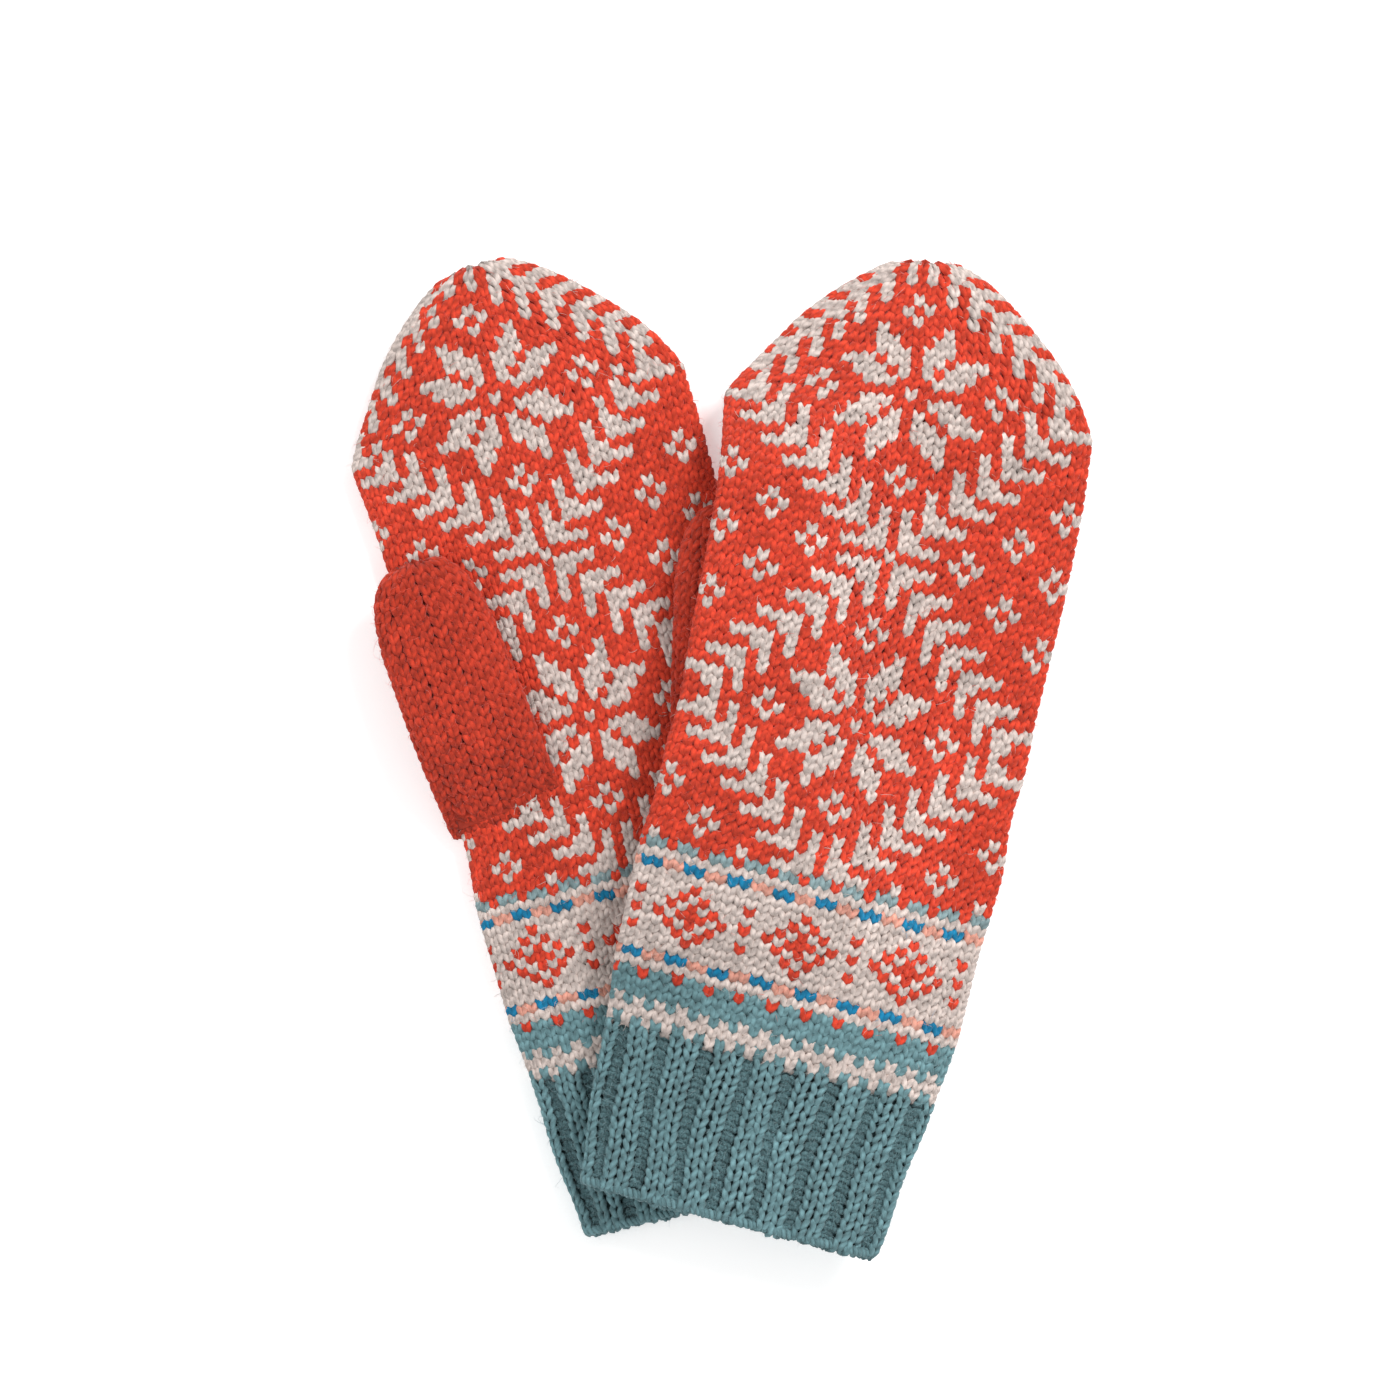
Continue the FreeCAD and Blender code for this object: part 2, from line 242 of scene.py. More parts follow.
class Surface:
    """A closed tube of fabric held as a fine grid: along in millimetres, round from 0 to 1."""

    ROUND = 397

    def __init__(self, places, points):
        self.places = places
        self.points = points
        down = np.gradient(points, places, axis=0)
        closed = points[:, :-1]
        ring = np.roll(closed, -1, axis=1) - np.roll(closed, 1, axis=1)
        ring = np.concatenate([ring, ring[:, :1]], axis=1)
        self.normals = unit(np.cross(ring, down))

    def at(self, along, turn):
        """Points and outward normals at each place."""
        step = self.places[1] - self.places[0]
        # A little short of the last row, so that there is always a row after row i
        a = np.clip((along - self.places[0]) / step, 0.0, len(self.places) - 1.001)
        b = (turn % 1.0) * (self.ROUND - 1)
        i, j = a.astype(int), b.astype(int)
        u, v = (a - i)[..., None], (b - j)[..., None]
        out = []
        for grid in (self.points, self.normals):
            low = grid[i, j] * (1 - v) + grid[i, j + 1] * v
            high = grid[i + 1, j] * (1 - v) + grid[i + 1, j + 1] * v
            out.append(low * (1 - u) + high * u)
        return out

    def girth(self, along):
        """Distance round the tube at each place."""
        lengths = np.linalg.norm(np.diff(self.points, axis=1), axis=-1).sum(axis=1)
        return np.interp(along, self.places, lengths)

    def fold_turn(self, along, right):
        """Where round the tube its right or left side fold lies."""
        half = self.ROUND // 2
        from_middle = np.linalg.norm(self.points - self.points.mean(axis=1, keepdims=True), axis=-1)
        start, end = (0, half) if right else (half, self.ROUND)
        found = start + np.argmax(from_middle[:, start:end], axis=1)
        return np.interp(along, self.places, found / (self.ROUND - 1.0))


def closing(along, end, half_thick):
    """Half thickness near a closed end, where the two faces come together."""
    share = np.clip((along - end + CLOSE_RUN) / CLOSE_RUN, 0.0, 1.0)
    return CLOSED_HALF + (half_thick - CLOSED_HALF) * math.sqrt(1.0 - share * share)


def fold_wander(along):
    """An uneven wave between -1 and 1 along the side folds, with about 44 mm from crest to crest."""
    return math.sin(along / 7.0 + 1.7 * math.sin(along / 19.0))


def face_ripple(x, y):
    """Uneven hills between -1 and 1 over the faces, some 35 to 45 mm across."""
    return np.sin(x / 11.0 + 2.0 * np.sin(y / 31.0)) * np.sin(y / 14.0 + np.sin(x / 23.0))


def hand_surface(mitten):
    """A mitten's hand and cuff. Its faces only sink below the CAD's surface, and don't at the folds."""
    places = np.arange(HAND_START, TIP_CLOSED + 1.5 * HAND_GRID, HAND_GRID)
    point, heading = middle_line(mitten, places)
    rows = []
    for k, along in enumerate(places):
        half_t = closing(along, TIP_CLOSED, half_thickness(along))
        across, height = even_ring(half_width(mitten, max(along, 0.0)), half_t, half_t, Surface.ROUND)
        across = across + UNEVEN_EDGE * fold_wander(along)
        x = point[k, 0] + across * heading[k, 1]
        y = point[k, 1] - across * heading[k, 0]
        z = HAND_THICK / 2.0 + drape(mitten, x, y) + height
        z = z - height / HAND_THICK * UNEVEN_FACE * (1.0 + face_ripple(x, y))
        rows.append(np.stack([x, y, z], axis=-1))
    return Surface(places, np.array(rows))


def thumb_place(mitten, along, across):
    """Plan position of a point of the thumb, from its root's middle."""
    point, heading = middle_line(mitten, THUMB_BASE_ALONG)
    base = point + mitten["thumb_across"] * np.array([heading[1], -heading[0]])
    turn = math.radians(-mitten["thumb_splay"])
    hx = heading[0] * math.cos(turn) - heading[1] * math.sin(turn)
    hy = heading[0] * math.sin(turn) + heading[1] * math.cos(turn)
    return base[0] + along * hx + across * hy, base[1] + along * hy - across * hx


def palm_height(mitten, x, y):
    """Height of the palm's own surface under or over points in plan."""
    along = np.arange(*PALM_SEARCH)
    line, heading = middle_line(mitten, along)
    offset = np.stack([x, y], axis=-1)[:, None] - line[None]
    nearest = np.argmin(np.hypot(offset[..., 0], offset[..., 1]), axis=1)
    pick = np.arange(len(x))
    to_point = offset[pick, nearest]
    across = to_point[:, 0] * heading[nearest, 1] - to_point[:, 1] * heading[nearest, 0]
    share = np.clip(np.abs(across) / half_width(mitten, along[nearest]), 0.0, 1.0)
    rise = half_thickness(along[nearest]) * (1.0 - share ** TOP_POWER) ** (1.0 / TOP_POWER)
    middle = HAND_THICK / 2.0 + drape(mitten, x, y)
    return middle + rise if mitten["palm_up"] else middle - rise


def thumb_surface(mitten):
    """The thumb rises out of the palm over its first rows and lies flat on it after that."""
    places = np.arange(THUMB_START, THUMB_LENGTH + 2.0 * THUMB_GRID, THUMB_GRID)
    facing = 1.0 if mitten["palm_up"] else -1.0
    rows = []
    for along in places:
        share = steps(THUMB_WIDTHS, along)
        thickness = THUMB_THINNEST + (1.0 - THUMB_THINNEST) * min(1.0, share + 1.0 - THUMB_FULL_AT)
        half_t = closing(along, THUMB_LENGTH, THUMB_THICK * thickness / 2.0)
        across, height = even_ring(THUMB_HALF_WIDTH * share, half_t, half_t, Surface.ROUND)
        x, y = thumb_place(mitten, along, across)
        flat = THUMB_MIDDLE + height
        sunk = palm_height(mitten, x, y) - facing * THUMB_SINK + THUMB_ROOT_ROUND * (height - facing * half_t)
        out_of_palm = smooth((along - THUMB_RISE_START) / THUMB_RISE_RUN)
        rows.append(np.stack([x, y, sunk * (1.0 - out_of_palm) + flat * out_of_palm], axis=-1))
    return Surface(places, np.array(rows))


def joint_place(name):
    """A joint's place in the frame, in millimetres."""
    joint = next(j for j in frame["joints"] if j["name"] == name)
    return np.array(joint["pos_m"]) / MM


# The frame's origin is elsewhere: the left thumb's pivot shows how far the surfaces above have to move
THUMB_MIDDLE = LOWER_LIFT + THUMB_THICK / 2.0
pivot = thumb_place(LEFT, 0.0, PIVOT_INSET - THUMB_HALF_WIDTH)
SHIFT = joint_place("left_thumb_swing") - np.array([pivot[0], pivot[1], THUMB_MIDDLE])


# -------------------- the chart

# A quarter of a star: the columns in each row from its middle
STAR_QUARTER = {6: (3,), 5: (2, 3), 4: (1, 2, 3), 3: (1, 2, 4, 5, 6), 2: (1, 3, 4, 5), 1: (2, 3, 4)}
STAR_ROWS = (0, -30)
APEX_ROWS = (15, -15, -45)  # where the arms of sprigs cross
SPRIG_COUNT = 7             # sprigs along each arm
SPRIG = ((0, 0), (1, 0), (2, 0), (3, 0), (0, 1), (1, 1), (0, 2), (0, 3))
DIAMOND = ((0, 1), (0, -1), (1, 0), (-1, 0))
DIAMOND_OFF_STAR = 8        # how far from a star's middle its four small diamonds are
DIAMONDS_OFF_APEX = ((7, 0), (11, 3), (11, -3), (15, 0), (15, 6), (15, -6))


def hand_chart():
    """The pale stitches of one side of the hand, as (column, row)."""
    pale = set()
    for middle in STAR_ROWS:
        pale.add((0, middle))
        for row, columns in STAR_QUARTER.items():
            for column in columns:
                pale.update((sx * column, middle + sy * row) for sx in (1, -1) for sy in (1, -1))
        for side_column, side_row in DIAMOND:
            c = DIAMOND_OFF_STAR * side_column
            r = DIAMOND_OFF_STAR * side_row
            pale.update((c + dc, middle + r + dr) for dc, dr in DIAMOND)
    for apex in APEX_ROWS:
        pale.add((0, apex))
        for i in range(SPRIG_COUNT):
            start = 1 + 2 * i
            for dc, dr in SPRIG:
                pale.update((sx * (start + dc), apex + sy * (start + dr))
                            for sx in (1, -1) for sy in (1, -1))
        for c, r in DIAMONDS_OFF_APEX:
            pale.update((sx * c + dc, apex + r + dr) for sx in (1, -1) for dc, dr in DIAMOND)
    return pale


PALE_STITCHES = hand_chart()
MOTIF_MIDDLE = -52          # the band's figures: middle round, rounds above it, columns to the next one
MOTIF_HALF = 3
MOTIF_REPEAT = 10
UPPER_DOTS = -45            # the rounds beside and below the figures
UPPER_DASHES = -47
LOWER_DASHES = -57
LOWER_DOTS = -59
PLAIN_ROWS = (-61, -60)
UPPER_ZIGZAG = -62
PALE_ROW = -63
LOWER_ZIGZAG = -64


def border_colour(column, row):
    """Yarn of a stitch of the border; the band's figures are plain diamonds and dots."""
    if row in (UPPER_DOTS, LOWER_DOTS):
        ground = "teal" if row == LOWER_DOTS else "grey"
        return "orange" if column % 3 == 2 else ground
    if row in (UPPER_DASHES, LOWER_DASHES):
        return "blue" if column % 4 in (1, 2) else "pink"
    if row in PLAIN_ROWS:
        return "teal"
    up = abs(row - MOTIF_MIDDLE)
    if up <= MOTIF_HALF:
        across = abs((column + MOTIF_REPEAT // 2) % MOTIF_REPEAT - MOTIF_REPEAT // 2)
        if across + up in (0, 1, 3) or (across == 5 and up in (0, 2)):
            return "orange"
    return "pale"


def yarn_of(column, row):
    """Yarn of any stitch of the cuff and hand."""
    if row >= FIRST_HAND_ROW:
        return "pale" if (column, row) in PALE_STITCHES else "orange"
    if row > UPPER_ZIGZAG:
        return border_colour(column, row)
    if row == PALE_ROW:
        return "pale"
    if row in (UPPER_ZIGZAG, LOWER_ZIGZAG):
        return "pale" if (column + (row == LOWER_ZIGZAG)) % 2 else "teal"
    return "teal"


# -------------------- stitches

def loop_path(sway):
    """The middle of one stitch: (column, row, depth), from foot to foot over its head."""
    t = np.linspace(-math.pi, math.pi, LOOP_RINGS)
    column = t / (2.0 * math.pi) + sway * np.sin(2.0 * t)
    row = LOOP_TALL * np.cos(t)
    depth = 1.0 - 2.0 * np.abs(np.cos(t)) ** LOOP_DIP
    return column, row, depth


class Stitches:
    """The stitches of one section, listed by yarn: where each one is, its size, and whether it is purl."""

    def __init__(self):
        self.items = {}

    def add(self, yarn, turn, turn_step, along, along_step, purl=False, size=1.0):
        self.items.setdefault(yarn, []).append((turn, turn_step, along, along_step, purl, size))


def as_numbers(items):
    """Stitches as rows of numbers, in the order that Stitches.add takes them."""
    return np.array([[float(v) for v in item] for item in items])


def tube_mesh(name, centres, side, out, half_side, half_out, lengths, shade, closed=False, sides=LOOP_SIDES):
    """Tubes of yarn: centres is tubes x rings x 3, side and out are its two cross directions."""
    tubes, rings = centres.shape[:2]
    angle = np.linspace(0.0, 2.0 * math.pi, sides, endpoint=False)
    ring = (centres[:, :, None]
            + side[:, :, None] * (np.cos(angle) * half_side[..., None])[..., None]
            + out[:, :, None] * (np.sin(angle) * half_out[..., None])[..., None])
    verts = ring.reshape(-1, 3)
    spans = rings if closed else rings - 1
    t, r, s = np.meshgrid(np.arange(tubes), np.arange(spans), np.arange(sides), indexing="ij")
    s2 = (s + 1) % sides
    r2 = (r + 1) % rings
    base = t * rings * sides
    quads = np.stack([base + r * sides + s, base + r * sides + s2,
                      base + r2 * sides + s2, base + r2 * sides + s], axis=-1).reshape(-1, 4)
    share = s / sides
    u0 = lengths[t, r]
    u1 = lengths[t, np.minimum(r + 1, lengths.shape[1] - 1)]
    step = 1.0 / sides
    uv = np.stack([np.stack([u0, share], -1), np.stack([u0, share + step], -1),
                   np.stack([u1, share + step], -1), np.stack([u1, share], -1)], axis=-2).reshape(-1, 2)
    loops = [quads.reshape(-1)]
    sizes = [np.full(len(quads), 4)]
    uvs = [uv]
    if not closed:
        # One face closes each end of an open tube
        first = np.arange(tubes)[:, None] * rings * sides
        corners = np.arange(sides)[None, :]
        for start, order in ((0, corners[:, ::-1]), ((rings - 1) * sides, corners)):
            loops.append((first + start + order).reshape(-1))
            sizes.append(np.full(tubes, sides))
            uvs.append(np.zeros((tubes * sides, 2)))
    shades = np.repeat(np.broadcast_to(shade, (tubes, rings)).reshape(-1), sides)
    return build_mesh(name, verts, np.concatenate(loops), np.concatenate(sizes), np.concatenate(uvs), shades)


def build_mesh(name, verts, loops, sizes, uvs=None, shades=None):
    """A piece from vertices in millimetres and faces that are runs of loops."""
    mesh = bpy.data.meshes.new(name)
    mesh.vertices.add(len(verts))
    mesh.vertices.foreach_set("co", ((verts + SHIFT) * MM).astype(np.float32).ravel())
    mesh.loops.add(len(loops))
    mesh.loops.foreach_set("vertex_index", loops.astype(np.int32))
    mesh.polygons.add(len(sizes))
    starts = np.concatenate([[0], np.cumsum(sizes)[:-1]])
    mesh.polygons.foreach_set("loop_start", starts.astype(np.int32))
    mesh.polygons.foreach_set("loop_total", sizes.astype(np.int32))
    if uvs is not None:
        layer = mesh.uv_layers.new(name="yarn")
        layer.data.foreach_set("uv", uvs.astype(np.float32).ravel())
    if shades is not None:
        shade = mesh.attributes.new("shade", "FLOAT", "POINT")
        shade.data.foreach_set("value", shades.astype(np.float32).ravel())
    mesh.update(calc_edges=True)
    mesh.validate()
    mesh.shade_smooth()
    piece = bpy.data.objects.new(name, mesh)
    bpy.context.scene.collection.objects.link(piece)
    return piece


def lay_stitches(name, surface, items, rng, painted_shade=1.0, ribbed=False):
    """One mesh of every stitch in items on the surface."""
    column, row, depth = loop_path(RIB_SWAY if ribbed else LOOP_SWAY)
    turn, turn_step, along, along_step, purl, size = as_numbers(items).T[..., None]
    count = len(items)
    loose = 1.0 + LOOSE * rng.standard_normal((count, 1))
    lean = LEAN * rng.standard_normal((count, 1))
    wide = 1.0 + WIDE * rng.standard_normal((count, 1))
    aside = ASIDE * rng.standard_normal((count, 1))
    turns = turn + turn_step * (column[None] * wide + lean * row[None] + aside)
    turns = turns + turn_step * DRIFT * np.sin(along / DRIFT_LENGTHS[0] + turn * DRIFT_TURNS[0])
    alongs = along + along_step * (row[None] * loose + ASTRAY * rng.standard_normal((count, 1)))
    alongs = alongs + along_step * DRIFT * np.sin(turn * DRIFT_TURNS[1] + along / DRIFT_LENGTHS[1])
    point, normal = surface.at(alongs, turns)
    normal = unit(normal)
    side_of = np.where(purl > 0.5, -1.0, 1.0)
    out = LOOP_DEPTH * depth[None] * side_of * size - fabric_depth(normal)
    if ribbed:
        out = out + rib_ridge(turns)
    centres = point + normal * out[..., None]
    tangent = unit(np.gradient(centres, axis=1))
    side = unit(np.cross(tangent, normal))
    outward = np.cross(side, tangent)
    swell = 1.0 + SWELL * np.maximum(0.0, depth)[None] + THICK_UNEVEN * rng.standard_normal((count, 1))
    walked = np.cumsum(np.linalg.norm(np.diff(centres, axis=1), axis=-1), axis=1)
    lengths = np.concatenate([np.zeros((count, 1)), walked], axis=1)
    lengths = lengths + rng.uniform(0.0, TWIST_START, (count, 1))
    # The shade attribute: random unevenness from stitch to stitch, darkened by painted shade where the yarn
    # dips behind its neighbours
    shade = 1.0 + SHADE_UNEVEN * rng.standard_normal((count, 1)) - PAINTED_DIP_SHADE * (1.0 - depth[None]) / 2.0
    half_side = YARN_ACROSS * swell * size
    half_out = YARN_DEEP * swell * size
    # The thumbs' stitches are darkened here by a factor below one: painted shade
    return tube_mesh(name, centres, side, outward, half_side, half_out, lengths, shade * painted_shade)


# -------------------- sections of a mitten

SECTION_ROWS = {
    "rib_cuff": (FIRST_ROW, FIRST_STRIPE_ROW - 1),
    "stripe_band": (FIRST_STRIPE_ROW, FIRST_BORDER_ROW - 1),
    "border_band": (FIRST_BORDER_ROW, FIRST_HAND_ROW - 1),
    "hand": (FIRST_HAND_ROW, FIRST_TIP_ROW - 1),
    "fingertip": (FIRST_TIP_ROW, LAST_ROW),
}
STITCH_WIDE = 3.05          # a stitch of the hand, where the decreases set how many are left
STITCH_TALL = 2.9
RIB_REPEAT = 4              # stitches of a rib and the channel beside it
KNIT_WIDE = 1.42            # columns that a knit stitch of the ribbing takes, out of 2 for it and a purl one
RIB_YARN = 0.84             # the ribbing's yarn against the hand's
RIB_RISE = 0.5              # height of a rib's middle and depth of the channels between ribs
RIB_SINK = 1.3
RIB_TOP = 0.95              # half width of a rib's top, and of the slope beside it, in stitches
RIB_SLOPE = 0.75
FOLD_GRID = 0.25            # spacing of the places that a fold of the fingertip is measured at
THUMB_FIRST_PLACE = 0.35    # the thumb's first row lies this many rows from its root
GUSSET_ROWS = 5
THUMB_TIP_START = 50.0
FEWEST_STITCHES = 6


def row_place(row):
    """How far along the mitten the middle of a row lies."""
    return float(steps(ROW_PLACES, row))


def row_step(row):
    """How tall a row is."""
    return row_place(row + 0.5) - row_place(row - 0.5)


def fabric_depth(normal):
    """Depth of the yarn's middle where the surface faces along normal."""
    return EDGE_DEPTH + (FACE_DEPTH - EDGE_DEPTH) * smooth(np.abs(normal[..., 2]) / FACE_TILT)


def rib_ridge(turns):
    """Height of the ribbing: rounded ribs with a channel between them."""
    half = RIB_REPEAT / 2.0
    from_middle = np.abs((turns * RIB_COLUMNS + half) % RIB_REPEAT - half)
    return RIB_RISE - (RIB_RISE + RIB_SINK) * smooth((from_middle - RIB_TOP) / RIB_SLOPE)


def rib_stitches(bins):
    """Two knit, two purl: the knit stitches stand out and crowd the purl ones."""
    first, last = SECTION_ROWS["rib_cuff"]
    edges = (0.0, KNIT_WIDE, 2.0 * KNIT_WIDE, RIB_REPEAT / 2.0 + KNIT_WIDE, float(RIB_REPEAT))
    gather = Stitches()
    bins["rib_cuff"] = gather
    for row in range(first, last + 1):
        for column in range(RIB_COLUMNS):
            rib, part = divmod(column, RIB_REPEAT)
            purl = part >= RIB_REPEAT // 2
            left, right = edges[part], edges[part + 1]
            turn = (rib * RIB_REPEAT + (left + right) / 2.0 - KNIT_WIDE) / RIB_COLUMNS
            wide = (right - left) / RIB_COLUMNS
            gather.add("teal", turn, wide, row_place(row), row_step(row), purl, RIB_YARN)


def side_columns(count, roll):
    """Column numbers that one side shows when count stitches are left on it."""
    half = count / 2.0
    low = math.ceil(-half - roll)
    return range(low, low + count)


def stitches_round(surface, place):
    """How many stitches fit round the surface at a place, as an even number."""
    return 2 * round(float(surface.girth(place)) / STITCH_WIDE / 2.0)


def knit_rows(mitten, surface, bins):
    """The plain and patterned rounds, from the stripe up to the fingertips."""
    for section in ("stripe_band", "border_band", "hand", "fingertip"):
        first, last = SECTION_ROWS[section]
        for row in range(first, last + 1):
            place, step = row_place(row), row_step(row)
            around = COLUMNS
            if row >= FIRST_TIP_ROW:
                around = min(COLUMNS, stitches_round(surface, place))
            for upper in (True, False):
                roll = mitten["roll"] if upper else -mitten["roll"]
                name = section
                if section == "hand":
                    name = "palm" if upper == mitten["palm_up"] else "back"
                gather = bins.setdefault(name, Stitches())
                for column in side_columns(around // 2, roll):
                    turn = (column + roll) / around + (0.0 if upper else 0.5)
                    gather.add(yarn_of(column, row), turn, 1.0 / around, place, step)


def fold_chain(mitten, surface, gather):
    """A column of stitches along each side fold of the fingertip, where the rows are cut off aslant."""
    along = np.arange(HAND_END - 1.0, TIP_CLOSED - 0.5, FOLD_GRID)
    rows, places = zip(*ROW_PLACES)
    half = STITCH_TALL / 2.0
    for right in (True, False):
        turn = surface.fold_turn(along, right)
        point = surface.at(along, turn)[0]
        walked = np.concatenate([[0.0], np.cumsum(np.linalg.norm(np.diff(point, axis=0), axis=-1))])
        for middle in np.arange(half, walked[-1], STITCH_TALL):
            start, place, end = np.interp((middle - half, middle, middle + half), walked, along)
            row = round(float(np.interp(place, places, rows)))
            left_on_side = min(COLUMNS // 2, stitches_round(surface, place) // 2)
            columns = side_columns(left_on_side, mitten["roll"])
            yarn = yarn_of(columns[-1 if right else 0], row)
            wide = STITCH_WIDE / float(surface.girth(place))
            gather.add(yarn, float(np.interp(place, along, turn)), wide, place, end - start)


def thumb_part(row, place):
    """The section that a row of the thumb belongs to."""
    if row < GUSSET_ROWS:
        return "thumb_gusset"
    return "thumb_tube" if place < THUMB_TIP_START else "thumb_tip"


def thumb_stitches(surface, bins):
    """Plain rounds of orange yarn, with stitches dropped towards the tip."""
    step = THUMB_LENGTH / THUMB_ROWS
    for row in range(THUMB_ROWS):
        place = (row + THUMB_FIRST_PLACE) * step
        around = max(FEWEST_STITCHES, min(THUMB_COLUMNS, stitches_round(surface, place)))
        gather = bins.setdefault(thumb_part(row, place), Stitches())
        for column in range(around):
            gather.add("orange", (column + 0.5) / around, 1.0 / around, place, step)


# -------------------- stray fibres, the edge and the strands behind

FIBRE = 0.058               # half thickness of a stray fibre
FIBRE_RINGS = 4
FIBRE_SIDES = 3
FIBRES_PER_STITCH = 4.2
FIBRE_BEND = 1.1            # typical bend, in radians
FIBRE_SHORTEST = 0.5
FIBRE_LENGTH = (2.2, 0.62)  # shape and scale of the spread of lengths beyond that
FIBRE_STAND = (0.05, 0.85)  # least and most that a fibre stands up, before the power
FIBRE_STAND_POWER = 1.5
FIBRE_RISE = 0.4            # rise of its end and height of its arch, as shares of its length
FIBRE_ARCH = 0.75
FIBRE_FOOT = 0.5            # where it leaves the yarn, above the yarn's middle
PURL_DEEPER = 0.9
FIBRE_TAPER = 0.7


def fuzz(name, surface, yarn_items, rng, count):
    """Stray fibres that stand a little off the stitches, as thin tapered tubes."""
    picks = rng.integers(0, len(yarn_items), count)
    data = as_numbers(yarn_items)[picks]
    turn = data[:, 0] + data[:, 1] * rng.uniform(-0.5, 0.5, count)
    along = data[:, 2] + data[:, 3] * rng.uniform(-0.6, 0.6, count)
    t = np.linspace(0.0, 1.0, FIBRE_RINGS)[None]
    heading = rng.uniform(0.0, 2.0 * math.pi, (count, 1))
    bend = rng.normal(0.0, FIBRE_BEND, (count, 1))
    length = rng.gamma(*FIBRE_LENGTH, (count, 1)) + FIBRE_SHORTEST
    walk = heading + bend * t
    step_a = np.cumsum(np.cos(walk), axis=1) * length / FIBRE_RINGS
    step_b = np.cumsum(np.sin(walk), axis=1) * length / FIBRE_RINGS
    girth = surface.girth(along)[:, None]
    point, normal = surface.at(along[:, None] + step_a, turn[:, None] + step_b / girth)
    stand = rng.uniform(*FIBRE_STAND, (count, 1)) ** FIBRE_STAND_POWER
    curl = np.sin(math.pi * t * rng.uniform(0.4, 1.0, (count, 1)))
    normal = unit(normal)
    out = FIBRE_FOOT - fabric_depth(normal) + stand * length * (FIBRE_RISE * t + FIBRE_ARCH * curl)
    out = out - PURL_DEEPER * data[:, 4:5]
    centres = point + normal * out[..., None]
    # No fibre reaches below the floor
    centres[..., 2] = np.maximum(centres[..., 2], FIBRE - SHIFT[2])
    tangent = unit(np.gradient(centres, axis=1))
    side = unit(np.cross(tangent, normal))
    outward = np.cross(side, tangent)
    thick = FIBRE * (1.0 - FIBRE_TAPER * t) * rng.uniform(0.7, 1.3, (count, 1))
    lengths = np.tile(np.linspace(0.0, 2.0, FIBRE_RINGS)[None], (count, 1))
    return tube_mesh(name, centres, side, outward, thick, thick, lengths, 1.0, sides=FIBRE_SIDES)


EDGE_YARN = 0.72            # half thickness of the edge's two strands, and how far they are from their middle
EDGE_ALONG = 1.1
EDGE_RINGS = 8              # rings of each strand in one turn of the twist
EDGE_WAVE = 0.45            # how far the edge follows the ribs in and out, and how far ahead of them it is
EDGE_WAVE_LEAD = 0.4
EDGE_SHADE = 0.92
EDGE_PLY_STEP = 0.5


def cast_on_edge(name, surface):
    """Two strands twisted along the lower edge, one turn for each stitch."""
    rings = RIB_COLUMNS * EDGE_RINGS
    phase = np.arange(rings) / EDGE_RINGS * 2.0 * math.pi
    turn = np.arange(rings) / rings
    rib = np.cos(2.0 * math.pi * (turn * RIB_COLUMNS - KNIT_WIDE) / RIB_REPEAT + EDGE_WAVE_LEAD)
    tubes = []
    for strand in (0.0, math.pi):
        along = EDGE_ALONG + EDGE_YARN * np.cos(phase + strand)
        point, normal = surface.at(along, turn)
        normal = unit(normal)
        out = EDGE_YARN * np.sin(phase + strand) - fabric_depth(normal) + EDGE_WAVE * rib
        tubes.append(point + normal * out[:, None])
    centres = np.array(tubes)
    tangent = unit(np.roll(centres, -1, axis=1) - np.roll(centres, 1, axis=1))
    # Nearly upright, so that it never lies along the yarn
    up = np.zeros_like(centres)
    up[..., 2] = 1.0
    side = unit(np.cross(tangent, up + 1e-3))
    outward = np.cross(side, tangent)
    thick = np.full(centres.shape[:2], EDGE_YARN)
    lengths = np.tile(np.arange(rings + 1) * EDGE_PLY_STEP, (2, 1))
    return tube_mesh(name, centres, side, outward, thick, thick, lengths, EDGE_SHADE, closed=True)


BACKING_GRID = 2.0
BACKING_COLUMNS = 132
BACKING_INSET = 2.0         # how far inside the cuff's edge and the fingertip the strands end
BACKING_CHANGE = 58.0       # where the cuff's strands meet the hand's
HAND_BACKING = 2.0          # their depth below the surface
CUFF_BACKING = 3.1
THUMB_SHADE_LAYER_END = THUMB_LENGTH - 3.0
# The cuff's layer also lies behind the ribbing, which carries no strands; there it is painted shade for the
# shaded inside
HAND_STRANDS = [
    ("hand_strands", BACKING_CHANGE, TIP_CLOSED - BACKING_INSET, HAND_BACKING, "orange"),
    ("cuff_strands_and_shade_layer", BACKING_INSET, BACKING_CHANGE, CUFF_BACKING, "teal"),
]


def backing(name, surface, start, end, depth):
    """The strands carried behind the stitches, as one closed-in layer inside them; where no strands are
    carried, as behind the ribbing and in the plain thumb, the layer is painted shade for the shaded inside.
    """
    places = np.arange(start, end + 0.01, BACKING_GRID)
    turns = np.linspace(0.0, 1.0, BACKING_COLUMNS, endpoint=False)
    a, b = np.meshgrid(places, turns, indexing="ij")
    point, normal = surface.at(a, b)
    verts = (point - unit(normal) * depth).reshape(-1, 3)
    rows, cols = a.shape
    r, c = np.meshgrid(np.arange(rows - 1), np.arange(cols), indexing="ij")
    c2 = (c + 1) % cols
    here, above = r * cols, (r + 1) * cols
    quads = np.stack([here + c, here + c2, above + c2, above + c], axis=-1).reshape(-1, 4)
    return build_mesh(name, verts, quads.reshape(-1), np.full(len(quads), 4))


# -------------------- materials

